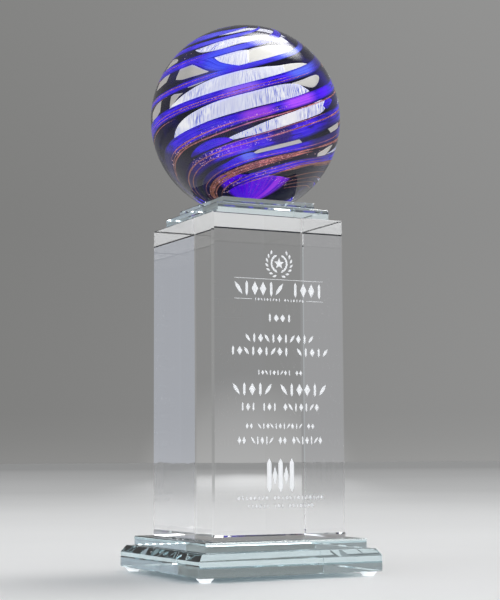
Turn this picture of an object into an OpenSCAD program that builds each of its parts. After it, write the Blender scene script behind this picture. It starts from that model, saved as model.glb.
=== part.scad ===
// Column trophy: a swirled glass ball on a square crystal column with stepped plates.
// The origin is on the table, under the middle of the base. +Z is up and -Y is the engraved front.
// Angles are in degrees and lengths in millimetres.

/* [Ball] */
// Diameter of the ball
ball_d = 102.8; // [80:0.1:120]
// Depth of the flat ground under the ball
ball_flat_depth = 3.8; // [2:0.1:5]
// Thickness of the clear casing over the colours
casing_t = 5.6; // [5.2:0.1:12]
// Thickness of the layer that holds the colours
colour_layer = 2.2; // [1.5:0.1:2.4]

/* [Swirl] */
// Latitude that a ribbon climbs in one turn
swirl_climb = 96; // [60:1:140]
// Direction round the ball in which the ribbons' latitudes are given
swirl_azimuth = -26.6; // [-180:0.1:180]
// Lean of the swirl's axis towards that direction
swirl_lean = 9.5; // [0:0.5:20]
// Latitude of each ribbon's middle in that direction
ribbon_lat = [-45.5, -30, -18.5, -0.5, 17.5, 32.5]; // [-60:0.5:60]
// Width of each ribbon in latitude
ribbon_span = [6.5, 6, 10.5, 7, 7, 4.5]; // [2:0.5:12]
// Width in latitude of each ribbon's copper thread at its lowest end
thread_span = [1.2, 6, 1.5, 2, 1.2, 1.2]; // [0.8:0.1:6]
// Width in latitude of every copper thread at its highest end
thread_top_span = 0.8; // [0.5:0.1:1.2]
// Latitude at which each ribbon and its thread begin
ribbon_low = [-62, -62, -62, -62, -46, -30]; // [-66:1:-20]
// Highest latitude of the ribbons and threads
ribbon_high = 80; // [60:1:82]
// Lowest latitude of the silver veils
veil_low = -28; // [-50:1:0]
// Highest latitude of the silver veils
veil_high = 74; // [50:1:78]
// Latitude below which the colours are drawn in towards the bottom
draw_in_lat = -4; // [-30:1:0]
// Share of the coloured layer's radius that is lost at the bottom
draw_in = 0.25; // [0:0.05:0.35]
// Stretch of the ribbons' spacing below that latitude
draw_out = 1.2; // [1:0.05:1.25]
// Thickness of the violet gather under the core
gather_t = 1.2; // [0.8:0.1:3]
// Highest latitude of the violet gather
gather_high = -50; // [-70:1:-40]

/* [Cap plates] */
// Side of the upper cap plate
upper_cap_w = 54.2; // [50:0.1:60]
// Thickness of the upper cap plate
upper_cap_t = 4.2; // [3:0.1:8]
// Side of the lower cap plate
lower_cap_w = 65.5; // [61:0.5:74]
// Thickness of the lower cap plate
lower_cap_t = 6; // [3:0.1:10]

/* [Column] */
// Side of the column
column_w = 76.2; // [75:0.1:90]
// Height of the column
column_h = 165.5; // [155:0.5:260]
// Chamfer on the column's upright edges
column_chamfer = 1.1; // [0.5:0.1:2]

/* [Base] */
// Side of the step plate
step_w = 91.5; // [91:0.5:95]
// Thickness of the step plate
step_t = 5; // [4:0.1:8]
// Side of the base plate
base_w = 103; // [103:0.5:130]
// Thickness of the base plate
base_t = 11.4; // [8:0.1:16]
// Width of the bevel along the base plate's top edge
base_bevel_w = 2.5; // [1:0.1:4]
// Height of the bevel along the base plate's top edge
base_bevel_h = 3.5; // [1:0.1:6]

/* [Feet] */
// Diameter of a foot where it meets the base
foot_top_d = 8.8; // [7:0.1:10]
// Diameter of a foot where it stands on the table
foot_bottom_d = 5.8; // [4:0.1:7]
// Height of a foot with its adhesive
foot_h = 2.4; // [1.6:0.1:4]
// Distance from a foot's middle to the base plate's sides
foot_inset = 5.4; // [5:0.1:20]
// Thickness of the adhesive disc on a foot
foot_adhesive_t = 0.15; // [0.1:0.05:0.3]

/* [Bonding] */
// Thickness of the cured adhesive between two plates
bond_t = 0.1; // [0.05:0.05:0.2]
// Distance that the adhesive stays back from a plate's edge
bond_setback = 0.6; // [0.3:0.1:2]
// Fine chamfer on the plates' edges
arris = 0.4; // [0.2:0.1:0.8]

/* [Engraving] */
// Depth of the sand-blasted engraving
engraving_depth = 0.3; // [0.2:0.05:0.6]
// Thickness of the frosted glass on the engraving's floor
frost_t = 0.15; // [0.05:0.05:0.2]
// Height of the emblem
emblem_h = 15.6; // [10:0.1:16]
// Distance from the column's top to the emblem's top
emblem_drop = 17; // [10:0.5:20]

/* [Hidden] */
RIBBONS = len(ribbon_lat);
ARC_STEPS = 48;
CORNERS = [[-1, -1], [1, -1], [1, 1], [-1, 1]];
ribbon_names = [for (i = [1:RIBBONS]) str("cobalt_ribbon_", i)];
veil_names = [for (i = [1:RIBBONS]) str("silver_veil_", i)];
thread_names = [for (i = [1:RIBBONS]) str("copper_thread_", i)];
foot_names = [for (i = [1:4]) str("bumper_foot_", i)];
foot_adhesive_names = [for (i = [1:4]) str("foot_adhesive_", i)];

// Heights of the stack, from the table up
base_z = foot_h;
base_bond_z = base_z + base_t;
step_z = base_bond_z + bond_t;
step_bond_z = step_z + step_t;
column_z = step_bond_z + bond_t;
column_top = column_z + column_h;
lower_cap_z = column_top + bond_t;
cap_bond_z = lower_cap_z + lower_cap_t;
upper_cap_z = cap_bond_z + bond_t;
ball_bond_z = upper_cap_z + upper_cap_t;
ball_flat_z = ball_bond_z + bond_t;

// The ball and its coloured layer
ball_r = ball_d / 2;
ball_z = ball_flat_z + ball_r - ball_flat_depth;
ball_flat_r = sqrt(ball_r * ball_r - pow(ball_r - ball_flat_depth, 2));
layer_r = ball_r - casing_t;
core_r = layer_r - colour_layer;
layer_clearance = 0.2;
ribbon_in_r = core_r + 2 * layer_clearance;
ribbon_out_r = layer_r - layer_clearance;
swirl_step = 8;
swirl_lon = swirl_azimuth - 90;
edge_gap = 0.3;
least_veil = 0.5;
taper_share = 0.12;
tip_share = 0.4;
wide_span = 3.5;
draw_in_depth = 34;
cup_margin = 1;

// Lines of the engraving. Each frieze line holds its middle's distance below the emblem's top,
// its width, its height, and how many marks are in each of its groups.
emblem_top = column_top - emblem_drop;
rule_t = 0.3;
headline_w = 51.4;
headline_rule_drop = 16.3;
side_rule_w = 10;
side_rule_drop = 26.7;
headline_lines = [
    [21.2, headline_w, 8, [6, 4]],
    [side_rule_drop, 29, 1.8, [9, 7]]
];
message_lines = [
    [36, 14.8, 4.6, [4]],
    [46.5, 40, 5, [11]],
    [53.2, 57, 5, [9, 5]],
    [64, 26.3, 3, [9, 2]],
    [72.6, 54.2, 7, [5, 6]],
    [81.5, 45.7, 4.6, [3, 3, 7]],
    [91.2, 40, 3.4, [2, 11, 2]],
    [98.4, 49, 4.6, [2, 5, 2, 7]]
];
device_w = 19.4;
device_h = 17.4;
device_drop = 116;
footer_lines = [
    [127.4, 49.7, 2.6, [8, 13]],
    [131.4, 38, 2.4, [6, 3, 7]]
];

// ---- Plates and blocks ----

// Outline of a plate's cross-section: a bottom chamfer, and a top bevel of its own width and height
function plate_profile(w, t, chamfer, bevel_w, bevel_h) = [
    [-w / 2 + chamfer, 0], [w / 2 - chamfer, 0],
    [w / 2, chamfer], [w / 2, t - bevel_h],
    [w / 2 - bevel_w, t], [-w / 2 + bevel_w, t],
    [-w / 2, t - bevel_h], [-w / 2, chamfer]
];

// Square with its corners cut off
function cut_square(w, c) = [
    [-w / 2 + c, -w / 2], [w / 2 - c, -w / 2], [w / 2, -w / 2 + c], [w / 2, w / 2 - c],
    [w / 2 - c, w / 2], [-w / 2 + c, w / 2], [-w / 2, w / 2 - c], [-w / 2, -w / 2 + c]
];

// Square block with chamfered edges, standing on z = 0
module square_block(w, t, corner, chamfer, bevel_w, bevel_h) {
    profile = plate_profile(w, t, chamfer, bevel_w, bevel_h);
    intersection() {
        linear_extrude(t) polygon(cut_square(w, corner));
        rotate([90, 0, 0]) linear_extrude(w, center = true) polygon(profile);
        rotate([90, 0, 90]) linear_extrude(w, center = true) polygon(profile);
    }
}

module plain_plate(w, t) {
    square_block(w, t, arris, arris, arris, arris);
}

module bond_film(w) {
    film_w = w - 2 * bond_setback;
    translate([-film_w / 2, -film_w / 2, 0]) cube([film_w, film_w, bond_t]);
}

// ---- Ball ----

// Share of its full radius that a coloured layer keeps at a latitude
function drawn(lat) =
    let (t = max(0, min(1, (draw_in_lat - lat) / draw_in_depth)))
    1 - draw_in * t * t * (3 - 2 * t);

function on_arc(r, lat) = r * drawn(lat) * [cos(lat), sin(lat)];

// Outline of one half of a coloured layer's outside, from the bottom to the top
function layer_arc(r, low, high) = [
    for (i = [0:ARC_STEPS]) on_arc(r, low + i / ARC_STEPS * (high - low))
];

// Turns and moves a swirl that was drawn round the origin into the ball
module in_ball() {
    translate([0, 0, ball_z])
    rotate([0, 0, swirl_lon])
    rotate([0, swirl_lean, 0])
    rotate([0, 0, -swirl_lon])
    children();
}

module layer_solid(r) {
    rotate_extrude($fn = 96)
    polygon(layer_arc(r, -90, 90));
}

module gather_cup() {
    rotate_extrude($fn = 96)
    polygon(concat(
        layer_arc(core_r + cup_margin, -90, gather_high),
        layer_arc(core_r - gather_t, gather_high, -90)
    ));
}

module sphere_casing() {
    color("aliceblue", 0.35)
    difference() {
        translate([0, 0, ball_z])
        difference() {
            sphere(ball_r, $fn = 96);
            translate([-ball_r, -ball_r, -2 * ball_r - (ball_r - ball_flat_depth)])
            cube(2 * ball_r);
        }
        in_ball() layer_solid(layer_r);
    }
}

module sphere_core() {
    color("midnightblue")
    in_ball()
    difference() {
        layer_solid(core_r);
        gather_cup();
    }
}

module violet_gather() {
    color("blueviolet")
    in_ball()
    intersection() {
        layer_solid(core_r);
        gather_cup();
    }
}

// ---- Swirl ----

// Latitude of a band's point, with the spacing stretched where the colours are drawn in
function swirl_lat(lat) = lat > draw_in_lat ? lat : draw_in_lat + draw_out * (lat - draw_in_lat);

function on_layer(r, lon, lat) =
    let (flat = on_arc(r, swirl_lat(lat)))
    [flat[0] * cos(lon), flat[0] * sin(lon), flat[1]];

// Share of the full width at the point t of a band's length, from 0 to 1
function band_width(t) = min(1, tip_share + min(t, 1 - t) / taper_share);

// One cross-section of a band: out along the outer radius and back along the inner one
function band_ring(lon, lat, half, across) = concat(
    [for (s = [-1:across:1]) on_layer(ribbon_out_r, lon, lat + s * half)],
    [for (s = [1:-across:-1]) on_layer(ribbon_in_r, lon, lat + s * half)]
);

// Solid through equal rings of points, closed by its first and last ring
module skin(rings) {
    count = len(rings);
    sides = len(rings[0]);
    points = [for (ring = rings) each ring];
    walls = [
        for (i = [0:count - 2], j = [0:sides - 1])
            let (a = i * sides + j, b = i * sides + (j + 1) % sides)
                each [[a, a + sides, b], [b, a + sides, b + sides]]
    ];
    first = [
        for (j = [0:sides / 2 - 2])
            each [[j, j + 1, sides - 1 - j], [j + 1, sides - 2 - j, sides - 1 - j]]
    ];
    end = (count - 1) * sides;
    last = [for (face = first) [end + face[2], end + face[1], end + face[0]]];
    polyhedron(points, concat(first, walls, last));
}

// Band that climbs the ball between two latitudes. Its edges are given at both ends, as the
// latitudes [bottom, top] that they would have at swirl_lon.
module swirl_band(low, high, low_edges, high_edges) {
    turn = (high - low) / swirl_climb * 360;
    steps = ceil(turn / swirl_step);
    at_front = (low_edges[0] + low_edges[1]) / 2;
    start = swirl_lon + (low - at_front) / swirl_climb * 360;
    widest = max(low_edges[1] - low_edges[0], high_edges[1] - high_edges[0]);
    across = widest > wide_span ? 1 : 2;
    rings = [
        for (i = [0:steps])
            let (
                t = i / steps,
                edges = (1 - t) * low_edges + t * high_edges,
                middle = low + t * (high - low) + (edges[0] + edges[1]) / 2 - at_front,
                half = (edges[1] - edges[0]) / 2 * band_width(t)
            )
                band_ring(start + t * turn, middle, half, across)
    ];
    in_ball() skin(rings);
}

function ribbon_edges(i) =
    [ribbon_lat[i] - ribbon_span[i] / 2, ribbon_lat[i] + ribbon_span[i] / 2];

// A thread runs under its ribbon and narrows as it climbs
function thread_width(i, lat) =
    let (t = (lat - ribbon_low[i]) / (ribbon_high - ribbon_low[i]))
    thread_span[i] + t * (thread_top_span - thread_span[i]);

function thread_edges(i, lat) =
    let (top = ribbon_edges(i)[0] - edge_gap)
    [top - thread_width(i, lat), top];

// A veil fills the gap from its ribbon up to the next ribbon's thread
function veil_edges(i, lat) =
    let (
        next = (i + 1) % RIBBONS,
        lift = i + 1 < RIBBONS ? 0 : swirl_climb,
        bottom = ribbon_edges(i)[1] + edge_gap,
        top = thread_edges(next, lat)[0] + lift - edge_gap
    )
    [bottom, max(top, bottom + least_veil)];

module cobalt_ribbon(i) {
    color("mediumblue")
    swirl_band(ribbon_low[i], ribbon_high, ribbon_edges(i), ribbon_edges(i));
}

module copper_thread(i) {
    low_edges = thread_edges(i, ribbon_low[i]);
    high_edges = thread_edges(i, ribbon_high);
    color("peru")
    swirl_band(ribbon_low[i], ribbon_high, low_edges, high_edges);
}

module silver_veil(i) {
    color("lavender")
    swirl_band(veil_low, veil_high, veil_edges(i, veil_low), veil_edges(i, veil_high));
}

// ---- Cap plates, column and base ----

module upper_cap_plate() {
    color("lightcyan", 0.6)
    translate([0, 0, upper_cap_z])
    plain_plate(upper_cap_w, upper_cap_t);
}

module lower_cap_plate() {
    color("lightcyan", 0.6)
    translate([0, 0, lower_cap_z])
    plain_plate(lower_cap_w, lower_cap_t);
}

module column() {
    color("whitesmoke", 0.5)
    difference() {
        translate([0, 0, column_z])
        square_block(column_w, column_h, column_chamfer, arris, arris, arris);
        on_floor(2 * engraving_depth) {
            emblem();
            headline();
            message();
            device();
            footer();
        }
    }
}

module step_plate() {
    color("paleturquoise", 0.6)
    translate([0, 0, step_z])
    plain_plate(step_w, step_t);
}

module base_plate() {
    color("paleturquoise", 0.6)
    translate([0, 0, base_z])
    square_block(base_w, base_t, arris, arris, base_bevel_w, base_bevel_h);
}

// ---- Adhesive films ----

module bond_ball() {
    color("ghostwhite", 0.7)
    translate([0, 0, ball_bond_z])
    cylinder(r = ball_flat_r - bond_setback, h = bond_t, $fn = 96);
}

module bond_caps() {
    color("ghostwhite", 0.7)
    translate([0, 0, cap_bond_z])
    bond_film(upper_cap_w);
}

module bond_column_top() {
    color("ghostwhite", 0.7)
    translate([0, 0, column_top])
    bond_film(lower_cap_w);
}

module bond_column_foot() {
    color("ghostwhite", 0.7)
    translate([0, 0, step_bond_z])
    bond_film(column_w);
}

module bond_base() {
    color("ghostwhite", 0.7)
    translate([0, 0, base_bond_z])
    bond_film(step_w);
}

// ---- Feet ----

function foot_place(i) = (base_w / 2 - foot_inset) * CORNERS[i];

module bumper_foot(i) {
    edge = 0.3;
    body_h = foot_h - foot_adhesive_t;
    color("white", 0.8)
    translate([foot_place(i)[0], foot_place(i)[1], 0])
    rotate_extrude($fn = 64)
    polygon([
        [0, 0], [foot_bottom_d / 2 - edge, 0], [foot_bottom_d / 2, edge],
        [foot_top_d / 2, body_h - edge], [foot_top_d / 2, body_h], [0, body_h]
    ]);
}

module foot_adhesive(i) {
    color("gainsboro", 0.8)
    translate([foot_place(i)[0], foot_place(i)[1], foot_h - foot_adhesive_t])
    cylinder(d = foot_top_d - 0.4, h = foot_adhesive_t, $fn = 64);
}

// ---- Engraving ----

// Lays a flat drawing, with x across and y as the height above the table, on the engraving's floor
module on_floor(thickness) {
    translate([0, -column_w / 2 + engraving_depth, 0])
    rotate([90, 0, 0])
    linear_extrude(thickness)
    children();
}

module frosted() {
    color("white")
    on_floor(frost_t)
    children();
}

module lozenge(w, h) {
    polygon([[-w / 2, 0], [0, -h / 2], [w / 2, 0], [0, h / 2]]);
}

// Tall mark with pointed ends
module spindle(w, h) {
    point = min(w, h / 3);
    polygon([
        [0, -h / 2], [w / 2, -h / 2 + point], [w / 2, h / 2 - point],
        [0, h / 2], [-w / 2, h / 2 - point], [-w / 2, -h / 2 + point]
    ]);
}

// Leaf with its stem at the origin, pointing along +x
module leaf(length, width) {
    polygon([
        [0, 0], [0.3 * length, -0.42 * width], [0.65 * length, -0.5 * width], [length, 0],
        [0.65 * length, 0.5 * width], [0.3 * length, 0.42 * width]
    ]);
}

module star(outer, inner) {
    polygon([
        for (i = [0:9])
            let (r = i % 2 == 0 ? outer : inner, a = 90 + 36 * i)
                [r * cos(a), r * sin(a)]
    ]);
}

// Marks of a frieze, by their distance from the middle of their group: a lozenge, a spindle, a leaf
module frieze_mark(place, pitch, h) {
    kind = floor(abs(place)) % 3;
    side = place < 0 ? 1 : 0;
    if (kind == 0) lozenge(0.8 * pitch, 0.9 * h);
    if (kind == 1) spindle(0.32 * pitch, h);
    if (kind == 2) mirror([side, 0]) rotate(55) translate([-0.5 * h, 0]) leaf(h, 0.42 * pitch);
}

// First cell of a group, with one empty cell between groups
function group_start(groups, g) = g == 0 ? 0 : group_start(groups, g - 1) + groups[g - 1] + 1;

// Row of marks in groups, centred on the origin
module frieze(w, h, groups) {
    pitch = w / (group_start(groups, len(groups)) - 1);
    for (g = [0:len(groups) - 1], i = [0:groups[g] - 1]) {
        x = (group_start(groups, g) + i + 0.5) * pitch - w / 2;
        translate([x, 0]) frieze_mark(i - (groups[g] - 1) / 2, pitch, h);
    }
}

module friezes(lines) {
    for (line = lines)
        translate([0, emblem_top - line[0]])
        frieze(line[1], line[2], line[3]);
}

// Laurel wreath, open at the top, round a star
module emblem() {
    leaves = 7;
    wreath_r = 0.36 * emblem_h;
    translate([0, emblem_top - emblem_h / 2]) {
        star(0.2 * emblem_h, 0.085 * emblem_h);
        for (side = [0, 1], i = [0:leaves - 1], turn = [-1, 1])
            mirror([side, 0])
            rotate(-78 + 20 * i)
            translate([wreath_r + turn * 0.05 * emblem_h, 0])
            rotate(90 - turn * 28)
            leaf(0.17 * emblem_h, 0.075 * emblem_h);
    }
}

module headline() {
    friezes(headline_lines);
    translate([-headline_w / 2, emblem_top - headline_rule_drop])
    square([headline_w, rule_t]);
    for (side = [-1, 1])
        translate([side * (headline_w - side_rule_w) / 2, emblem_top - side_rule_drop])
        square([side_rule_w, rule_t], center = true);
}

module message() {
    friezes(message_lines);
}

// Three tall columns with lozenges between them
module device() {
    pitch = device_w / 3;
    translate([0, emblem_top - device_drop]) {
        for (i = [-1, 0, 1]) translate([i * pitch, 0]) spindle(0.4 * pitch, device_h);
        for (i = [-0.5, 0.5]) translate([i * pitch, 0]) lozenge(0.42 * pitch, 0.55 * device_h);
    }
}

module footer() {
    friezes(footer_lines);
}

// ---- Assembly ----

sphere_casing();
sphere_core();
violet_gather();
for (i = [0:RIBBONS - 1]) {
    cobalt_ribbon(i);
    silver_veil(i);
    copper_thread(i);
}
upper_cap_plate();
lower_cap_plate();
column();
step_plate();
base_plate();
bond_ball();
bond_caps();
bond_column_top();
bond_column_foot();
bond_base();
for (i = [0:3]) {
    bumper_foot(i);
    foot_adhesive(i);
}
frosted() emblem();  // engraved_emblem
frosted() headline();  // engraved_headline
frosted() message();  // engraved_message
frosted() device();  // engraved_device
frosted() footer();  // engraved_footer
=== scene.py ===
"""Looks of the column trophy: its glass, its swirled ball, its engraving and the studio round it."""

import math
import random

import bmesh
import bpy
from mathutils import Matrix, Vector, noise


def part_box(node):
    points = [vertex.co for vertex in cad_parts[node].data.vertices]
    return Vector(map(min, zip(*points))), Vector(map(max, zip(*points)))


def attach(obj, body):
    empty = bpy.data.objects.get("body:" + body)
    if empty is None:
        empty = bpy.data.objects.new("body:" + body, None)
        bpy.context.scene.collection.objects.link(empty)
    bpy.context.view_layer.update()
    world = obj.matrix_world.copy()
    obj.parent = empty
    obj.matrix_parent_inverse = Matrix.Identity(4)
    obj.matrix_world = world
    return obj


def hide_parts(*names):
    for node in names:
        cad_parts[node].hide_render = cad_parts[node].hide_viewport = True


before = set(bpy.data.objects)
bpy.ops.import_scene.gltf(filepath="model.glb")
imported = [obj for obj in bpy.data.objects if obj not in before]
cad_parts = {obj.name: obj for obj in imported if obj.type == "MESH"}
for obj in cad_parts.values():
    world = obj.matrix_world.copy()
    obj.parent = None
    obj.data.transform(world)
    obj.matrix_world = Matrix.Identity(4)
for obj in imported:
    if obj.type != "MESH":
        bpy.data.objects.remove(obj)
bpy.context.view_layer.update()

MM = 0.001

# ---------------------------------------------------------------- camera

CAMERA_AZIMUTH = -26.461
CAMERA_DISTANCE = 792.5 * MM
CAMERA_HEIGHT = 59.0 * MM
CAMERA_PITCH = 6.165
CAMERA_YAW = -0.14
CAMERA_ROLL = -0.309
CAMERA_LENS_MM = 89.11
SENSOR_WIDTH_MM = 36
CLIP_START, CLIP_END = 0.01, 60


def make_camera():
    data = bpy.data.cameras.new("camera")
    data.lens = CAMERA_LENS_MM
    data.sensor_width = SENSOR_WIDTH_MM
    data.clip_start, data.clip_end = CLIP_START, CLIP_END
    camera = bpy.data.objects.new("camera", data)
    bpy.context.scene.collection.objects.link(camera)
    a = math.radians(CAMERA_AZIMUTH)
    camera.location = (
        math.sin(a) * CAMERA_DISTANCE, -math.cos(a) * CAMERA_DISTANCE, CAMERA_HEIGHT
    )
    turn = (
        Matrix.Rotation(math.radians(CAMERA_AZIMUTH + CAMERA_YAW), 3, "Z")
        @ Matrix.Rotation(math.radians(90 + CAMERA_PITCH), 3, "X")
        @ Matrix.Rotation(math.radians(CAMERA_ROLL), 3, "Z")
    )
    camera.rotation_euler = turn.to_euler()
    bpy.context.scene.camera = camera


# ---------------------------------------------------------------- node helpers


class Nodes:
    """A node tree, with short calls for making and linking nodes."""

    def __init__(self, tree):
        self.tree = tree

    def add(self, kind, inputs=None, **settings):
        node = self.tree.nodes.new(kind)
        for key, value in settings.items():
            setattr(node, key, value)
        for key, value in (inputs or {}).items():
            self.feed(node.inputs[key], value)
        return node

    def feed(self, socket, value):
        if isinstance(value, bpy.types.NodeSocket):
            self.tree.links.new(value, socket)
        else:
            socket.default_value = value

    def math(self, operation, a, b=0.0):
        return self.add("ShaderNodeMath", {0: a, 1: b}, operation=operation).outputs[0]

    def smooth(self, value, low, high, to_low=0.0, to_high=1.0):
        return self.add(
            "ShaderNodeMapRange",
            {"Value": value, "From Min": low, "From Max": high, "To Min": to_low, "To Max": to_high},
            interpolation_type="SMOOTHSTEP",
        ).outputs[0]

    def mix(self, factor, a, b, blend="MIX"):
        node = self.add("ShaderNodeMix", data_type="RGBA", blend_type=blend)
        for index, value in ((0, factor), (6, a), (7, b)):
            self.feed(node.inputs[index], value)
        return node.outputs[2]

    def ramp(self, factor, stops):
        node = self.add("ShaderNodeValToRGB", {"Fac": factor})
        elements = node.color_ramp.elements
        while len(elements) < len(stops):
            elements.new(1.0)
        for element, (place, colour) in zip(elements, stops):
            element.position = place
            element.color = (*colour, 1)
        return node.outputs["Color"]

    def coordinates(self, scale=(1, 1, 1), kind="Object"):
        source = self.add("ShaderNodeTexCoord").outputs[kind]
        return self.add("ShaderNodeMapping", {"Vector": source, "Scale": scale}).outputs[0]

    def noise(self, vector, scale, detail=3.0, roughness=0.5):
        return self.add(
            "ShaderNodeTexNoise",
            {"Vector": vector, "Scale": scale, "Detail": detail, "Roughness": roughness},
        ).outputs["Fac"]

    def near(self, vector, point, reach):
        """1 at the point, falling smoothly to 0 at that reach from it."""
        distance = self.add(
            "ShaderNodeVectorMath", {0: vector, 1: point}, operation="DISTANCE"
        ).outputs["Value"]
        return self.smooth(distance, reach, 0.0)


class Shader(Nodes):
    """A material built on the Principled shader."""

    def __init__(self, name):
        self.material = bpy.data.materials.new(name)
        self.material.use_nodes = True
        super().__init__(self.material.node_tree)
        self.principled = self.tree.nodes["Principled BSDF"]
        self.output = self.tree.nodes["Material Output"]

    def set(self, **values):
        for key, value in values.items():
            self.feed(self.principled.inputs[key.replace("_", " ")], value)

    def bump(self, height, strength, distance):
        return self.add(
            "ShaderNodeBump", {"Height": height, "Strength": strength, "Distance": distance}
        ).outputs[0]

    def let_light_through(self, tint):
        """Lamps shine through the surface, dimmed by tint, as they do through real glass."""
        rays = self.add("ShaderNodeLightPath")
        clear = self.add("ShaderNodeBsdfTransparent", {"Color": (*tint, 1)})
        mixed = self.add(
            "ShaderNodeMixShader",
            {0: rays.outputs["Is Shadow Ray"], 1: self.principled.outputs[0],
             2: clear.outputs[0]},
        )
        self.feed(self.output.inputs["Surface"], mixed.outputs[0])

    def absorb(self, colour, density):
        volume = self.add(
            "ShaderNodeVolumeAbsorption", {"Color": (*colour, 1), "Density": density}
        )
        self.feed(self.output.inputs["Volume"], volume.outputs[0])


# ---------------------------------------------------------------- ball's shape

ball_low, ball_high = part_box("sphere_casing")
BALL_R = (ball_high.x - ball_low.x) / 2
ball_centre = Vector((0, 0, ball_high.z - BALL_R))

# The swirl is laid out by longitude, from the camera's side, and by phase: the latitude that a
# point's band has at longitude 0. A band climbs CLIMB degrees of latitude in one turn.
CLIMB = 96
SWIRL_LON = -26.6 - 90
SWIRL_LEAN = 9.5
DRAW_IN_LAT, DRAW_IN_DEPTH, DRAW_IN, DRAW_OUT = -4, 34, 0.25, 1.2
CASING_T, COLOUR_LAYER = 5.6 * MM, 2.2 * MM
LAYER_R = BALL_R - CASING_T
CORE_R = LAYER_R - COLOUR_LAYER
WINDOW_R = CORE_R + 0.35 * MM
VEIL_R = CORE_R + 0.7 * MM
TINT_R = CORE_R + 1.1 * MM
RIBBON_R = CORE_R + 1.3 * MM
THREAD_R = CORE_R + 1.8 * MM
FLECK_R = CORE_R + 2.0 * MM

swirl_frame = (
    Matrix.Translation(ball_centre)
    @ Matrix.Rotation(math.radians(SWIRL_LON), 4, "Z")
    @ Matrix.Rotation(math.radians(SWIRL_LEAN), 4, "Y")
    @ Matrix.Rotation(-math.radians(SWIRL_LON), 4, "Z")
)


def at_latitude(radius, lon, lat):
    """Point on the layer that is drawn in towards the bottom of the ball."""
    t = max(0, min(1, (DRAW_IN_LAT - lat) / DRAW_IN_DEPTH))
    radius *= 1 - DRAW_IN * t * t * (3 - 2 * t)
    a, b = math.radians(SWIRL_LON + lon), math.radians(lat)
    return swirl_frame @ Vector((
        radius * math.cos(b) * math.cos(a), radius * math.cos(b) * math.sin(a),
        radius * math.sin(b),
    ))


def in_swirl(radius, lon, phase):
    lat = phase + CLIMB * lon / 360
    if lat < DRAW_IN_LAT:
        lat = DRAW_IN_LAT + DRAW_OUT * (lat - DRAW_IN_LAT)
    return at_latitude(radius, lon, lat)


# ---------------------------------------------------------------- materials


def glass(name, ior, shadow_tint, absorbed=None, density=0.0):
    s = Shader(name)
    s.set(Base_Color=(1, 1, 1, 1), Roughness=0.0, IOR=ior, Transmission_Weight=1.0)
    waves = s.noise(s.coordinates(), 60, detail=1.0)
    s.set(Normal=s.bump(waves, 0.02, 0.0005))
    if absorbed:
        s.absorb(absorbed, density)
    s.let_light_through(shadow_tint)
    return s.material


# Pools of light and shade in the blue glass: longitude, phase, reach in millimetres, colour
COBALT_POOLS = (
    (-82, -10, 26, (0.004, 0.0, 0.06)), (-58, -34, 20, (0.003, 0.0, 0.03)),
    (-105, -18, 30, (0.004, 0.0, 0.05)), (-92, -46, 24, (0.003, 0.0, 0.03)),
    (78, 25, 24, (0.02, 0.005, 0.2)), (70, -32, 22, (0.02, 0.01, 0.12)),
    (-45, -20, 13, (0.012, 0.0, 0.16)), (25, -18, 10, (0.02, 0.005, 0.14)),
    (38, 0, 14, (0.4, 0.07, 0.95)), (8, -1.5, 12, (0.3, 0.05, 0.75)), (62, 2, 9, (0.08, 0.0, 0.9)),
    (-8, -17, 11, (0.12, 0.01, 0.95)), (-2, 17, 13, (0.25, 0.12, 0.88)),
    (45, 17, 12, (0.08, 0.12, 0.8)), (2, -26, 6, (0.12, 0.16, 0.9)),
    (45, 32, 18, (0.12, 0.17, 0.85)), (0, 52, 20, (0.1, 0.12, 0.8)),
    (-20, 68, 24, (0.1, 0.1, 0.78)), (-22, 42, 12, (0.05, 0.08, 0.88)),
    (150, -10, 24, (0.2, 0.04, 0.9)), (205, 0, 20, (0.01, 0.0, 0.12)),
    (250, -30, 22, (0.15, 0.03, 0.9)),
)


def cobalt_material():
    s = Shader("cobalt_glass")
    place = s.coordinates()
    streaks = s.noise(s.coordinates((14, 2.2, 1), "UV"), 3, detail=4)
    tone = s.ramp(streaks, [
        (0.3, (0.008, 0.0, 0.12)), (0.45, (0.025, 0.001, 0.6)), (0.62, (0.05, 0.006, 0.9)),
        (0.75, (0.1, 0.03, 0.95)),
    ])
    # Streaks: the dark ones are the glass's own lines, the light ones are partly painted soft
    # highlights
    lines = s.noise(s.coordinates((3, 16, 1), "UV"), 2, detail=2)
    tone = s.mix(s.smooth(lines, 0.58, 0.72, 0.0, 0.45), tone, (0.22, 0.2, 1.0, 1))
    # Painted pools of light and shade, fixed to places on the ball
    for lon, phase, reach, colour in COBALT_POOLS:
        pool = s.near(place, in_swirl(RIBBON_R, lon, phase), reach * MM)
        tone = s.mix(s.math("MINIMUM", s.math("MULTIPLY", pool, 1.5), 0.97), tone, (*colour, 1))
    tone = s.mix(s.smooth(lines, 0.55, 0.3), tone, (0.15, 0.1, 0.5, 1), "MULTIPLY")
    across = s.add("ShaderNodeSeparateXYZ", {0: s.coordinates(kind="UV")}).outputs["Y"]
    rim = s.ramp(across, [
        (0.0, (0.1, 0.1, 0.3)), (0.2, (1, 1, 1)), (0.8, (1, 1, 1)), (1.0, (0.15, 0.15, 0.4)),
    ])
    tone = s.mix(1.0, tone, rim, "MULTIPLY")
    # Painted glow: the blue glass gives off light of its own by emission
    s.set(Base_Color=tone, Roughness=0.2, Emission_Color=tone, Emission_Strength=1.15)
    s.set(Specular_IOR_Level=0.0)
    return s.material


def core_material():
    s = Shader("core_wash")
    tone = s.ramp(s.noise(s.coordinates(), 45, detail=4), [
        (0.35, (0.001, 0.0, 0.012)), (0.55, (0.004, 0.001, 0.05)), (0.75, (0.015, 0.002, 0.3)),
    ])
    # Painted glow: the dark wash gives off light of its own by emission
    s.set(Base_Color=tone, Roughness=0.3, Emission_Color=tone, Emission_Strength=0.4)
    s.set(Specular_IOR_Level=0.0)
    return s.material


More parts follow.
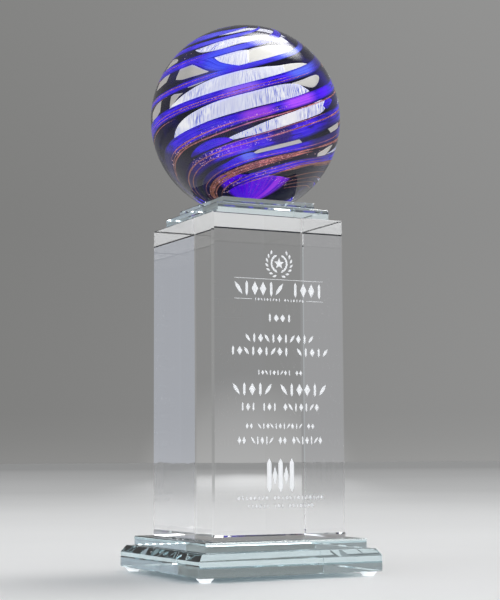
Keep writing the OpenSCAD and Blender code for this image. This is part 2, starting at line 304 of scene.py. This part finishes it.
def gather_material():
    """Violet fans that open upwards from the bottom of the ball. Their bright violet is partly
    painted light, and they glow by emission.
    """
    s = Shader("violet_glass")
    u = s.add("ShaderNodeSeparateXYZ", {0: s.coordinates(kind="UV")}).outputs["X"]
    tone = s.ramp(u, [
        (0.0, (0.001, 0.0, 0.012)), (0.38, (0.001, 0.0, 0.015)), (0.42, (0.08, 0.0, 0.78)),
        (0.5, (0.12, 0.0, 0.92)), (0.58, (0.2, 0.005, 0.95)), (0.63, (0.36, 0.03, 0.95)),
        (0.665, (0.14, 0.01, 0.6)), (0.68, (0.002, 0.0, 0.015)), (0.85, (0.002, 0.0, 0.015)),
        (0.93, (0.1, 0.0, 0.85)), (1.0, (0.001, 0.0, 0.012)),
    ])
    rays = s.noise(s.coordinates((90, 1.2, 1), "UV"), 1.0, detail=4, roughness=0.65)
    tone = s.mix(s.smooth(rays, 0.6, 0.35), tone, (0.25, 0.15, 0.55, 1), "MULTIPLY")
    s.set(Base_Color=tone, Roughness=0.25, Emission_Color=tone, Emission_Strength=0.9)
    s.set(Specular_IOR_Level=0.0)
    return s.material


# Where the silver glass is calm, and where a painted highlight whitens it: longitude, phase,
# reach in millimetres
CALM_VEILS = ((-4, 9, 20), (-18, 26, 28), (20, 26, 18))
LIT_VEILS = ((22, 48, 32), (30, -9, 12), (-44, 8, 9), (-50, 22, 10))


def veil_material():
    s = Shader("silver_glass")
    place = s.coordinates()
    fine = s.noise(s.coordinates((520, 1.1, 1), "UV"), 1.0, detail=2, roughness=0.6)
    broad = s.noise(s.coordinates((40, 1.0, 1), "UV"), 1.0, detail=2)
    tone = s.ramp(fine, [
        (0.4, (0.05, 0.08, 0.6)), (0.46, (0.35, 0.4, 0.88)), (0.53, (0.97, 0.98, 1.0)),
    ])
    for lon, phase, reach in CALM_VEILS:
        calm = s.near(place, in_swirl(VEIL_R, lon, phase), reach * MM)
        tone = s.mix(s.math("MULTIPLY", calm, 0.7), tone, (0.74, 0.77, 0.95, 1))
    tone = s.mix(s.smooth(broad, 0.42, 0.62, 0.0, 0.5), tone, (0.62, 0.64, 0.86, 1))
    # Painted highlight: the silver glass turns white round these places
    for lon, phase, reach in LIT_VEILS:
        lit = s.near(place, in_swirl(VEIL_R, lon, phase), reach * MM)
        tone = s.mix(s.math("MULTIPLY", lit, 0.8), tone, (1.0, 1.0, 0.99, 1))
    # Painted glow: the silver glass gives off light of its own by emission
    s.set(Base_Color=tone, Roughness=0.3, Emission_Color=tone, Emission_Strength=0.9)
    s.set(Specular_IOR_Level=0.0, Normal=s.bump(fine, 0.5, 0.0004))
    return s.material


def window_material():
    # Clear windows in the ball, painted pale with the light seen through them
    s = Shader("window_painted_light")
    haze = s.noise(s.coordinates(), 50, detail=2)
    tone = s.ramp(haze, [(0.35, (0.5, 0.49, 0.47)), (0.65, (0.66, 0.63, 0.6))])
    # Painted highlight: the windows turn white near the ball's highlight
    lit = s.near(s.coordinates(), in_swirl(WINDOW_R, 25, 38), 36 * MM)
    tone = s.mix(lit, tone, (1.0, 0.99, 0.93, 1))
    # Painted glow: the windows give off light of their own by emission
    s.set(Base_Color=tone, Roughness=0.25, Emission_Color=tone, Emission_Strength=0.75)
    s.set(Specular_IOR_Level=0.0)
    return s.material


# Painted shade on the copper, darkening it: longitude, phase, reach in millimetres
COPPER_SHADE_POOLS = ((-88, -25, 40), (95, -60, 26))


def copper_material():
    s = Shader("copper_glass")
    place = s.coordinates()
    cells = s.add("ShaderNodeTexVoronoi", {"Vector": place, "Scale": 3000})
    grain = s.add("ShaderNodeSeparateColor", {0: cells.outputs["Color"]}).outputs[0]
    tone = s.ramp(grain, [
        (0.0, (0.16, 0.035, 0.04)), (0.55, (0.5, 0.13, 0.13)), (0.9, (0.85, 0.4, 0.36)),
    ])
    # Painted light: a pink-violet pool on the threads
    pink_light = s.near(place, in_swirl(THREAD_R, 2, -8), 30 * MM)
    tone = s.mix(s.math("MULTIPLY", pink_light, 0.6), tone, (0.75, 0.22, 0.6, 1))
    along = s.noise(s.coordinates((26, 6, 1), "UV"), 1.0, detail=3)
    tone = s.mix(s.smooth(along, 0.6, 0.35), tone, (0.12, 0.05, 0.2, 1), "MULTIPLY")
    # Painted shade: the copper darkens round these places
    for lon, phase, reach in COPPER_SHADE_POOLS:
        copper_shade = s.near(place, in_swirl(THREAD_R, lon, phase), reach * MM)
        tone = s.mix(s.math("MULTIPLY", copper_shade, 0.85), tone, (0.13, 0.055, 0.025, 1))
    s.set(Base_Color=tone, Roughness=0.3, Metallic=0.2, Specular_IOR_Level=0.0)
    # Painted glow: the copper gives off light of its own by emission
    s.set(Emission_Color=tone, Emission_Strength=0.9)
    return s.material


def fleck_material():
    s = Shader("copper_flecks")
    tone = s.ramp(s.noise(s.coordinates(), 900, detail=2), [
        (0.4, (0.6, 0.25, 0.3)), (0.6, (1.0, 0.7, 0.85)),
    ])
    s.set(Base_Color=tone, Roughness=0.3, Metallic=0.3)
    # Painted glints: the flecks give off light of their own by emission
    s.set(Emission_Color=tone, Emission_Strength=0.5)
    return s.material


def frost_material():
    s = Shader("frosted_glass")
    grain = s.noise(s.coordinates(), 4000, detail=2)
    tone = s.ramp(grain, [(0.3, (0.8, 0.82, 0.84)), (0.7, (0.97, 0.98, 1.0))])
    s.set(Base_Color=tone, Roughness=0.7, Normal=s.bump(grain, 0.4, 0.0001))
    # Painted glow: the frost gives off light of its own by emission
    s.set(Emission_Color=tone, Emission_Strength=0.4)
    return s.material


def arris_material():
    """The ground arris round the column's top, painted dark for the shade line it shows from inside.
    """
    s = Shader("arris_painted_shade")
    grain = s.noise(s.coordinates(), 900, detail=3)
    tone = s.ramp(grain, [(0.3, (0.02, 0.023, 0.03)), (0.7, (0.07, 0.075, 0.09))])
    s.set(Base_Color=tone, Roughness=0.25)
    return s.material


def bumper_material():
    s = Shader("bumper_polyurethane")
    haze = s.noise(s.coordinates(), 500, detail=3)
    tone = s.ramp(haze, [(0.3, (0.86, 0.88, 0.9)), (0.7, (0.97, 0.98, 0.99))])
    s.set(Base_Color=tone, Roughness=0.25, IOR=1.5, Transmission_Weight=0.15)
    # Painted glow: the bumper gives off light of its own by emission
    s.set(Emission_Color=tone, Emission_Strength=0.45)
    s.let_light_through((0.8, 0.8, 0.8))
    return s.material


def film_material():
    s = Shader("cured_adhesive")
    haze = s.noise(s.coordinates(), 300, detail=3)
    tone = s.ramp(haze, [(0.3, (0.85, 0.87, 0.88)), (0.7, (0.95, 0.96, 0.97))])
    s.set(Base_Color=tone, Roughness=0.2, IOR=1.48, Alpha=0.08)
    return s.material


# Tone of the floor by its distance from the trophy, as a share of FLOOR_FADE metres: painted
# light, pale near the trophy and falling off away from it
FLOOR_FADE = 10
FLOOR_LEVELS = (
    (0.02, 0.86), (0.06, 0.79), (0.1, 0.7), (0.14, 0.59), (0.21, 0.47), (0.45, 0.37),
    (0.85, 0.3), (1.0, 0.26),
)

# A painted pool of light on the floor: a long paler strip, in metres, which the column's front
# face shows. It is turned to lie straight behind the trophy as the camera sees it, and stays
# there in every view.
POOL_PLACE, POOL_SIZE = (1.55, 3.1, 0), (0.36, 3.3, 1)
POOL_TONE, POOL_STRENGTH = 0.9, 0.95


def floor_material():
    """Painted light: pale round the trophy, and as dark as the backdrop where the two meet."""
    s = Shader("pale_floor")
    place = s.coordinates()
    away = s.add("ShaderNodeVectorMath", {0: place}, operation="LENGTH").outputs["Value"]
    tone = s.ramp(s.math("DIVIDE", away, FLOOR_FADE), [
        (share, (level, level, level)) for share, level in FLOOR_LEVELS
    ])
    pool_space = s.add(
        "ShaderNodeMapping",
        {"Vector": place, "Location": POOL_PLACE, "Scale": POOL_SIZE,
         "Rotation": (0, 0, math.radians(CAMERA_AZIMUTH))},
        vector_type="TEXTURE",
    ).outputs[0]
    # Painted pool of light, mixed into the floor's tone
    pool = s.math("MULTIPLY", s.near(pool_space, (0, 0, 0), 1.0), POOL_STRENGTH)
    tone = s.mix(pool, tone, (POOL_TONE, POOL_TONE, POOL_TONE, 1))
    mottling = s.ramp(s.noise(place, 3, detail=4), [(0.3, (0.96, 0.96, 0.96)), (0.7, (1, 1, 1))])
    s.set(Base_Color=s.mix(1.0, tone, mottling, "MULTIPLY"), Roughness=0.5)
    return s.material


# ---------------------------------------------------------------- mesh helpers


def make_object(name, bm, material, smooth=True):
    bmesh.ops.recalc_face_normals(bm, faces=bm.faces)
    mesh = bpy.data.meshes.new(name)
    bm.to_mesh(mesh)
    bm.free()
    mesh.materials.append(material)
    for polygon in mesh.polygons:
        polygon.use_smooth = smooth
    piece = bpy.data.objects.new(name, mesh)
    bpy.context.scene.collection.objects.link(piece)
    return piece


def stand_in(piece, slot, *nodes):
    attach(piece, "root")
    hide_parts(*nodes)
    return piece


def revolve(rings):
    """Closed surface through rings of points; the first and last rings may be single points."""
    bm = bmesh.new()
    uv_layer = bm.loops.layers.uv.verify()
    count = max(len(ring) for ring in rings)
    loops = [[bm.verts.new(point) for point in ring] for ring in rings]
    for k, (low, high) in enumerate(zip(loops, loops[1:])):
        for i in range(count):
            j = (i + 1) % count
            corners = {
                low[i % len(low)]: (i, k), low[j % len(low)]: (i + 1, k),
                high[j % len(high)]: (i + 1, k + 1), high[i % len(high)]: (i, k + 1),
            }
            if len(corners) < 3:
                continue
            face = bm.faces.new(list(corners))
            for loop, (u, v) in zip(face.loops, corners.values()):
                loop[uv_layer].uv = (u / count, v / (len(rings) - 1))
    return bm


def lathe(profile, segments, centre):
    """Closed surface of revolution about an upright axis; the profile starts and ends on the axis."""
    rings = []
    for radius, z in profile:
        points = 1 if radius < 1e-9 else segments
        turns = [2 * math.pi * i / segments for i in range(points)]
        rings.append([
            centre + Vector((radius * math.cos(a), radius * math.sin(a), z)) for a in turns
        ])
    return revolve(rings)


# ---------------------------------------------------------------- ball

GROUND_ARRIS = 0.3 * MM
ARRIS_TURN = 0.006
BALL_RINGS = 150
BALL_SEGMENTS = 256
LAYER_RINGS = 60
LAYER_SEGMENTS = 120
GATHER_PROUD, GATHER_DEPTH = 0.15 * MM, 1.2 * MM
GATHER_HIGH, GATHER_LIP = -50, -51


def make_ball(material):
    drop = ball_low.z - ball_centre.z
    flat_r = math.sqrt(BALL_R * BALL_R - drop * drop)
    start = math.atan2(flat_r, -drop) + ARRIS_TURN
    profile = [(0, drop), (flat_r - GROUND_ARRIS, drop)]
    for i in range(BALL_RINGS):
        angle = start + (math.pi - start) * i / BALL_RINGS
        profile.append((BALL_R * math.sin(angle), -BALL_R * math.cos(angle)))
    profile.append((0, BALL_R))
    ball = make_object("glass_ball", lathe(profile, BALL_SEGMENTS, ball_centre), material)
    ball.data.set_sharp_from_angle(angle=math.radians(30))
    return stand_in(ball, "clear_glass", "sphere_casing")


def layer_rings(radius, low, high):
    rings = []
    for k in range(LAYER_RINGS + 1):
        lat = low + (high - low) * k / LAYER_RINGS
        points = 1 if abs(abs(lat) - 90) < 1e-6 else LAYER_SEGMENTS
        rings.append([
            at_latitude(radius, 360 * i / LAYER_SEGMENTS - 180, lat) for i in range(points)
        ])
    return rings


def make_core(material):
    core = make_object("core_wash", revolve(layer_rings(CORE_R, -90, 90)), material)
    return stand_in(core, "cobalt_glass", "sphere_core")


def make_gather(material):
    """Cup round the bottom of the core."""
    outside = layer_rings(CORE_R + GATHER_PROUD, -90, GATHER_HIGH)
    inside = layer_rings(CORE_R - GATHER_DEPTH, -90, GATHER_LIP)
    rings = outside + inside[::-1]
    gather = make_object("violet_gather", revolve(rings), material)
    return stand_in(gather, "violet_glass", "violet_gather")


# ---------------------------------------------------------------- swirl

RIBBON_LAT = (-45.5, -30, -18.5, -0.5, 17.5, 32.5)
RIBBON_SPAN = (6.5, 6, 10.5, 7, 7, 4.5)
RIBBON_LOW, RIBBON_HIGH = (-62, -62, -62, -62, -46, -30), 80
VEIL_LOW, VEIL_HIGH = -28, 74
VEIL_LENGTHS, VEIL_GAPS = (70, 120), (6, 16)
EDGE_GAP, THREAD_ROOM = 0.3, 2
RIBBON_TIP, RIBBON_TAPER = 0.1, 0.12
STRAND_TIP, STRAND_TAPER = 0.15, 25
RIBBON_T, THREAD_T, PATCH_T = 0.8 * MM, 0.3 * MM, 0.3 * MM
WANDER = 0.5
FRONT_HALF = 82
LON_STEP = 2.5
LEAST_HALF = 0.03

# Round the back each copper thread is a twist of fine strands. At the camera's side they are set
# out one by one: phase, width, first and last longitude
BACK_STRANDS, BACK_SPACING, BACK_HALF_WIDTH = 3, 0.7, 0.22
STRANDS = (
    ((-43.3, 0.6, -60, 80), (-46.2, 0.5, -20, 95), (-49, 0.8, -10, 40), (-48.6, 2.0, 36, 120),
     (-56, 0.5, 50, 120), (-60, 0.35, 50, 130), (-63.5, 0.3, 58, 130), (-67, 0.45, 66, 130),
     (51, 0.5, -95, -38)),
    ((-30.6, 0.5, -110, 90), (-33.9, 1.3, -120, 130), (-36.2, 2.6, -125, 60),
     (-38.6, 0.9, -120, 45)),
    ((-13.4, 0.45, -30, 60), (-16.4, 0.9, -110, 100), (-20.4, 0.7, -115, 5)),
    ((-5.2, 0.8, -100, 130), (-2.4, 0.7, -80, 25), (-3.9, 0.5, -110, -30)),
    ((15.2, 0.4, -90, 60), (17.1, 0.5, -95, 40), (12.4, 0.5, -110, -50)),
    ((32.9, 0.6, -100, -20), (29.2, 0.4, -90, -60)),
)

# Patches at the camera's side, each a row of (longitude, bottom phase, top phase)
FRONT_VEILS = (
    ([(-52, 61, 61.5), (-42, 56.5, 62.5), (-25, 54.3, 64), (-5, 55, 63), (10, 53, 60),
      (25, 50, 57), (40, 45, 53), (55, 40, 47)],),
    ([(-40, 73.5, 75), (-20, 71.5, 77), (5, 70, 75), (20, 65, 71), (35, 59, 66),
      (50, 50, 60), (62, 44, 52)],),
    ([(-16, -11, -10.6), (-8, -11.8, -9.4), (5, -12.7, -8.3), (20, -13, -6.8),
      (35, -13, -5.8), (50, -12.6, -4.6), (58, -12, -4.4), (63, -9.6, -6)],),
    ([(-57, 2, 2.5), (-50, 1.4, 7), (-40, 2.4, 11), (-20, 3.4, 13.9), (5, 3.5, 14),
      (25, 3.2, 13.4), (38, 3.2, 10.5), (47, 3.6, 4.4)],),
    ([(-59, 20, 20.4), (-45, 20.8, 26), (-30, 20.8, 29.6), (-15, 20.4, 31),
      (0, 20.4, 30.6), (14, 20, 29), (30, 19, 26)],),
    ([(-27, 46, 47.4), (-20, 41.5, 48), (-10, 36.5, 48), (-2, 33.6, 47.4), (2.5, 34.5, 46.6)],),
)
FRONT_WINDOWS = (
    [(1, 36, 46.5), (10, 33.4, 47), (25, 33.8, 45), (40, 34.4, 41), (52, 34.6, 37)],
    [(34, 12, 12.4), (42, 8.8, 12.4), (52, 5.2, 12.5), (60, 6.6, 12), (64, 9, 10.6)],
    [(9, 27.6, 28.6), (20, 20.4, 27.6), (40, 18.4, 25.4), (52, 18.4, 22.8), (58, 19.4, 20.4)],
    [(-57, 40, 50), (-50, 38, 49.4), (-42, 37.4, 46), (-33, 37, 40.4), (-28, 37, 37.6)],
    [(-57, 22, 29), (-54, 22.5, 29.5), (-50, 26, 28.6), (-46, 27.6, 28)],
    [(-42, 30, 30.6), (-34, 30, 32.6), (-25, 31.4, 32.8), (-18, 31.8, 32.4)],
    [(-84, 20, 27), (-76, 21, 29.5), (-69, 23, 30)],
    [(-84, 40.5, 46), (-76, 41, 47.5), (-69, 42, 48)],
    [(-84, 54, 62), (-76, 55, 61), (-69, 56, 58)],
    [(7, -26.6, -25.9), (12, -27.6, -23.6), (25, -27.8, -21.6), (36, -27.8, -21.6),
     (44, -27.4, -26.6)],
    [(60, -20.8, -20.2), (68, -25, -19.4), (76, -30, -18.6), (84, -33, -18)],
    [(72, -40.5, -39), (78, -45, -36.5), (84, -49, -36)],
)
FRONT_TINTS = (
    [(-52, -11.6, -10.4), (-40, -12.6, -8), (-25, -12.8, -7), (-14, -12.4, -8.6), (-9, -12, -11.2)],
    [(-22, -28.8, -27.6), (-14, -29, -26), (0, -28.2, -24.4), (6, -27.6, -25), (8.5, -27, -26.4)],
    [(59, -8.6, -8.2), (63, -11.4, -4.8), (67, -10.6, -4.6), (72, -8.2, -6.8)],
    [(-52, 50, 53), (-42, 45.6, 52.6), (-30, 38.6, 50), (-20, 34.6, 42), (-10, 33.6, 37),
     (-3, 33.4, 34.2)],
)


def drift(place, seed, size):
    """Smooth wander, as hand work has, between about -size and size."""
    return size * noise.noise(Vector((place, seed * 7.3, 0.5)))


def smooth_row(row, lon):
    """The bottom and top phases at a longitude, on a smooth curve through the row's places."""
    k = 1
    while k < len(row) - 1 and lon > row[k][0]:
        k += 1
    before, a, b, after = row[max(k - 2, 0)], row[k - 1], row[k], row[min(k + 1, len(row) - 1)]
    length = b[0] - a[0]
    t = (lon - a[0]) / length
    edges = []
    for side in (1, 2):
        rise_a = (b[side] - before[side]) / (b[0] - before[0]) * length
        rise_b = (after[side] - a[side]) / (after[0] - a[0]) * length
        edges.append(
            a[side] * (2 * t ** 3 - 3 * t ** 2 + 1) + rise_a * (t ** 3 - 2 * t ** 2 + t)
            + b[side] * (3 * t ** 2 - 2 * t ** 3) + rise_b * (t ** 3 - t ** 2)
        )
    return edges


def add_band(bm, first, last, edges, radius, thickness, across):
    """Adds a closed, slightly crowned band. edges(lon) gives its bottom and top phases."""
    uv_layer = bm.loops.layers.uv.verify()
    steps = max(4, round((last - first) / LON_STEP))
    rings = []
    for i in range(steps + 1):
        lon = first + (last - first) * i / steps
        bottom, top = edges(lon)
        half = max(LEAST_HALF, (top - bottom) / 2)
        ring = []
        for side in (1, -1):
            for j in range(across):
                s = side * (2 * j / across - 1)
                crown = side * thickness * (0.5 - 0.4 * s * s)
                phase = (bottom + top) / 2 + s * half
                point = in_swirl(radius - thickness / 2 + crown, lon, phase)
                ring.append((bm.verts.new(point), (lon / 360, (s + 1) / 2)))
        rings.append(ring)
    for low, high in zip(rings, rings[1:]):
        for j in range(2 * across):
            k = (j + 1) % (2 * across)
            corners = [low[j], low[k], high[k], high[j]]
            face = bm.faces.new([vert for vert, _ in corners])
            for loop, (_, place) in zip(face.loops, corners):
                loop[uv_layer].uv = place
    bm.faces.new([vert for vert, _ in rings[0]])
    bm.faces.new([vert for vert, _ in reversed(rings[-1])])


def add_row(bm, row, radius):
    add_band(bm, row[0][0], row[-1][0], lambda lon: smooth_row(row, lon), radius, PATCH_T, 8)


def make_ribbon(i, material):
    first = (RIBBON_LOW[i] - RIBBON_LAT[i]) / CLIMB * 360
    last = (RIBBON_HIGH - RIBBON_LAT[i]) / CLIMB * 360

    def edges(lon):
        t = (lon - first) / (last - first)
        half = RIBBON_SPAN[i] / 2 * min(1, RIBBON_TIP + min(t, 1 - t) / RIBBON_TAPER)
        return (
            RIBBON_LAT[i] - half + drift(lon / 40, i, WANDER),
            RIBBON_LAT[i] + half + drift(lon / 45, i + 9, WANDER),
        )

    bm = bmesh.new()
    add_band(bm, first, last, edges, RIBBON_R, RIBBON_T, 6)
    ribbon = make_object(f"cobalt_ribbon_{i + 1}", bm, material)
    return stand_in(ribbon, "cobalt_glass", f"cobalt_ribbon_{i + 1}")


def make_thread(i, material):
    """Strands at the camera's side, and a twist of them that goes on round the ball."""
    bm = bmesh.new()
    for k, (phase, width, first, last) in enumerate(STRANDS[i]):
        def edges(lon):
            ends = min(1, STRAND_TIP + min(lon - first, last - lon) / STRAND_TAPER)
            half = width / 2 * ends * (1 + drift(lon / 9, i + 5 * k, WANDER))
            middle = phase + drift(lon / 30, i + 7 * k, WANDER)
            return middle - half, middle + half

        add_band(bm, first, last, edges, THREAD_R, THREAD_T, 3)
    base = RIBBON_LAT[i] - RIBBON_SPAN[i] / 2 - EDGE_GAP
    for k in range(BACK_STRANDS):
        def edges(lon):
            middle = base - BACK_SPACING * k + drift(lon / 25, i + 11 * k, WANDER)
            return middle - BACK_HALF_WIDTH, middle + BACK_HALF_WIDTH

        add_band(bm, FRONT_HALF, 360 - FRONT_HALF, edges, THREAD_R, THREAD_T, 3)
    thread = make_object(f"copper_thread_{i + 1}", bm, material)
    return stand_in(thread, "copper_glass", f"copper_thread_{i + 1}")


def gap_above(i):
    """Bottom and top phases between a ribbon and the next ribbon's thread."""
    k = (i + 1) % len(RIBBON_LAT)
    lift = CLIMB if k == 0 else 0
    bottom = RIBBON_LAT[i] + RIBBON_SPAN[i] / 2 + EDGE_GAP
    return bottom, RIBBON_LAT[k] + lift - RIBBON_SPAN[k] / 2 - THREAD_ROOM


def make_veil(i, material):
    """Listed patches at the camera's side, and lens-shaped ones round the rest of the ball."""
    bm = bmesh.new()
    for row in FRONT_VEILS[i]:
        add_row(bm, row, VEIL_R)
    chance = random.Random(i)
    bottom, top = gap_above(i)
    last = (VEIL_HIGH - bottom) / CLIMB * 360
    lon = (VEIL_LOW - bottom) / CLIMB * 360
    while lon < last:
        end = lon + chance.uniform(*VEIL_LENGTHS)
        beside_front = all(
            end < turn - FRONT_HALF or lon > turn + FRONT_HALF for turn in (-360, 0, 360)
        )
        if beside_front and end < last and top - bottom > 1:
            peak = lon + chance.uniform(0.3, 0.6) * (end - lon)
            add_row(bm, [
                (lon, bottom, bottom + 0.2),
                ((lon + peak) / 2, bottom, bottom + 0.7 * (top - bottom)),
                (peak, bottom, top),
                ((peak + end) / 2, bottom, bottom + 0.85 * (top - bottom)),
                (end, bottom + 0.5, bottom + 0.8),
            ], VEIL_R)
            lon = end
        lon += chance.uniform(*VEIL_GAPS)
    veil = make_object(f"silver_veil_{i + 1}", bm, material)
    return stand_in(veil, "silver_glass", f"silver_veil_{i + 1}")


def make_patches(name, rows, radius, material):
    bm = bmesh.new()
    for row in rows:
        add_row(bm, row, radius)
    patches = make_object(name, bm, material)
    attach(patches, "root")


# Runs of copper flecks: phase, spread, first and last longitude, count
FLECK_RUNS = (
    (-1.5, 1.2, -30, 30, 60), (-4.2, 1.0, -90, 10, 50), (-15, 1.6, -60, 45, 80),
    (-18.5, 1.4, -50, 20, 60), (16, 1.2, -50, 20, 40), (-44, 3.0, -80, 60, 60),
    (-36, 3.0, -90, 80, 70), (0, 30, 90, 270, 160), (57, 4, -60, 10, 12),
)
FLECK_SIZES = (0.08 * MM, 0.26 * MM)


def make_flecks(material):
    chance = random.Random(5)
    bm = bmesh.new()
    for phase, spread, first, last, count in FLECK_RUNS:
        for _ in range(count):
            point = in_swirl(
                FLECK_R, chance.uniform(first, last), chance.gauss(phase, spread / 2)
            )
            size = chance.uniform(*FLECK_SIZES)
            place = Matrix.Translation(point) @ Matrix.Rotation(chance.uniform(0, 6), 4, "Z")
            bmesh.ops.create_icosphere(bm, subdivisions=1, radius=size, matrix=place)
    flecks = make_object("copper_flecks", bm, material, smooth=False)
    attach(flecks, "root")


# ---------------------------------------------------------------- feet and films

FOOT_FILLET, FOOT_LIP = 0.35 * MM, 0.1 * MM
FOOT_DISH, FOOT_DISH_RIM = 0.15 * MM, 0.1 * MM
FOOT_TAPER = 0.66
FILLET_STEPS = 5
FILM_INSET = 0.02 * MM
FILM_CORNER = 1.5 * MM
FILM_WAIST, FILM_CREEP, FILM_RIPPLES = 0.997, 0.004, 300
CORNER_STEPS = 12


def make_foot(i, material):
    low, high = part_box(f"bumper_foot_{i}")
    centre = Vector(((low.x + high.x) / 2, (low.y + high.y) / 2, 0))
    top_r = (high.x - low.x) / 2
    bottom_r = top_r * FOOT_TAPER
    height = high.z
    profile = [(0, FOOT_DISH), (bottom_r / 2, FOOT_DISH_RIM)]
    for k in range(FILLET_STEPS + 1):
        a = math.pi / 2 * k / FILLET_STEPS
        profile.append((
            bottom_r - FOOT_FILLET + FOOT_FILLET * math.sin(a), FOOT_FILLET * (1 - math.cos(a))
        ))
    profile += [
        (top_r - FOOT_LIP, height - FOOT_FILLET), (top_r, height - FOOT_FILLET / 2),
        (top_r, height), (0, height),
    ]
    foot = make_object(f"bumper_foot_{i}", lathe(profile, 64, centre), material)
    foot.data.set_sharp_from_angle(angle=math.radians(40))
    return stand_in(foot, "bumper", f"bumper_foot_{i}")


def make_film(node, material, corner):
    """Film of cured adhesive: rounded corners, and an edge that wanders where it crept out."""
    low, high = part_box(node)
    half = (high.x - low.x) / 2
    outline = []
    for quarter in range(4):
        for k in range(CORNER_STEPS + 1):
            a = math.pi / 2 * (quarter + k / CORNER_STEPS)
            x = math.copysign(half - corner, math.cos(math.pi / 2 * (quarter + 0.5)))
            y = math.copysign(half - corner, math.sin(math.pi / 2 * (quarter + 0.5)))
            outline.append((x + corner * math.cos(a), y + corner * math.sin(a)))
    bottom, top = low.z + FILM_INSET, high.z - FILM_INSET
    rings = [[Vector((0, 0, bottom))]]
    for z, share in ((bottom, 1), ((bottom + top) / 2, FILM_WAIST), (top, 1)):
        ring = []
        for x, y in outline:
            creep = FILM_CREEP * abs(drift(x * FILM_RIPPLES, y * FILM_RIPPLES, 1))
            ring.append(Vector((x, y, 0)) * (share - creep) + Vector((0, 0, z)))
        rings.append(ring)
    rings.append([Vector((0, 0, top))])
    film = make_object(node, revolve(rings), material, smooth=False)
    return stand_in(film, "bond", node)


# ---------------------------------------------------------------- studio

# Soft lamps, all of them in the world shader: direction, the angles at which the light is full
# and gone, radiance, colour. The first three come from above. The level ones are placed for the
# camera: where the column's front face and left face mirror them to it, to its right, and, small
# and dim, straight behind the trophy.
SOFT_LAMPS = (
    ((0.383, 0.085, 0.92), 2, 22, 9.5, (1.0, 1.0, 1.0)),
    ((-0.8, -0.15, 0.57), 5, 22, 0.9, (0.92, 0.98, 1.08)),
    ((-0.8, -0.15, 0.57), 20, 70, 0.22, (0.9, 1.0, 1.06)),
    ((0.448, -0.894, 0.02), 8, 45, 0.13, (0.8, 0.95, 1.3)),
    ((-0.448, 0.894, 0.0), 5, 40, 0.12, (0.97, 0.98, 1.05)),
    ((0.895, -0.446, 0.0), 75, 105, 0.07, (1.0, 1.0, 1.02)),
    ((0.4456, 0.895, -0.017), 1, 4.5, 0.13, (1.0, 1.0, 1.0)),
)
# Light from all round, from straight down at 0 to straight up at 1
WORLD_LEVELS = (
    (0.0, 0.22), (0.5, 0.25), (0.507, 0.225), (0.515, 0.21), (0.58, 0.205), (0.65, 0.225),
    (0.72, 0.22), (0.8, 0.22), (0.9, 0.25), (1.0, 0.25),
)
FLOOR_RADIUS = 40


def make_floor(material):
    bm = bmesh.new()
    bmesh.ops.create_circle(bm, cap_ends=True, segments=96, radius=FLOOR_RADIUS)
    make_object("floor", bm, material, smooth=False)


def make_world():
    world = bpy.data.worlds.new("studio")
    bpy.context.scene.world = world
    world.use_nodes = True
    s = Nodes(world.node_tree)
    direction = s.add("ShaderNodeTexCoord").outputs["Generated"]
    up = s.add("ShaderNodeSeparateXYZ", {0: direction}).outputs["Z"]
    height = s.math("MULTIPLY_ADD", up, 0.5)
    height.node.inputs[2].default_value = 0.5
    light = s.ramp(height, [(z, (level, level, level * 0.98)) for z, level in WORLD_LEVELS])
    for aim, inner, outer, radiance, colour in SOFT_LAMPS:
        facing = s.add(
            "ShaderNodeVectorMath", {0: direction, 1: Vector(aim).normalized()},
            operation="DOT_PRODUCT",
        ).outputs["Value"]
        glow = s.smooth(
            facing, math.cos(math.radians(outer)), math.cos(math.radians(inner)), 0, 1
        )
        light = s.mix(glow, light, tuple(radiance * c for c in colour) + (1,), "ADD")
    s.feed(world.node_tree.nodes["Background"].inputs["Color"], light)


# ---------------------------------------------------------------- assembly

ARRIS_REACH = 1 * MM
ARRIS_SLOPE = (0.3, 0.9)


def assign(node, material):
    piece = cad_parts[node]
    piece.data.materials.clear()
    piece.data.materials.append(material)


scene = bpy.context.scene
scene.view_settings.view_transform = "Standard"
scene.cycles.max_bounces = 32
scene.cycles.transmission_bounces = 32
scene.cycles.transparent_max_bounces = 32
scene.cycles.glossy_bounces = 16
scene.cycles.caustics_reflective = False
scene.cycles.caustics_refractive = False

make_camera()
make_world()
make_floor(floor_material())

make_ball(glass("clear_casing_glass", ior=1.5, shadow_tint=(0.95, 0.96, 0.98)))
make_core(core_material())
make_gather(gather_material())
cobalt = cobalt_material()
silver = veil_material()
copper = copper_material()
window_light = window_material()
for index in range(len(RIBBON_LAT)):
    make_ribbon(index, cobalt)
    make_thread(index, copper)
    make_veil(index, silver)
make_patches("painted_light_windows", FRONT_WINDOWS, WINDOW_R, window_light)
make_patches("cobalt_tints", FRONT_TINTS, TINT_R, cobalt)
make_flecks(fleck_material())

crystal = glass("optical_crystal", ior=1.54, shadow_tint=(0.93, 0.94, 0.95))
plate = glass(
    "plate_glass", ior=1.52, shadow_tint=(0.8, 0.86, 0.88), absorbed=(0.78, 0.94, 0.97), density=9
)
assign("column", crystal)
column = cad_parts["column"]
column.data.materials.append(arris_material())
column_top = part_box("column")[1].z
# The column's top arris faces get the dark painted shade
for polygon in column.data.polygons:
    sloped = ARRIS_SLOPE[0] < polygon.normal.z < ARRIS_SLOPE[1]
    if sloped and polygon.center.z > column_top - ARRIS_REACH:
        polygon.material_index = 1
for node in ("upper_cap_plate", "lower_cap_plate", "step_plate", "base_plate"):
    assign(node, plate)

frost = frost_material()
for name in ("emblem", "headline", "message", "device", "footer"):
    assign(f"engraved_{name}", frost)

film = film_material()
for node in ("bond_caps", "bond_column_top", "bond_column_foot", "bond_base"):
    make_film(node, film, FILM_CORNER)
ball_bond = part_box("bond_ball")
make_film("bond_ball", film, (ball_bond[1].x - ball_bond[0].x) / 2)

bumper = bumper_material()
for corner in range(1, 5):
    make_foot(corner, bumper)
    assign(f"foot_adhesive_{corner}", film)
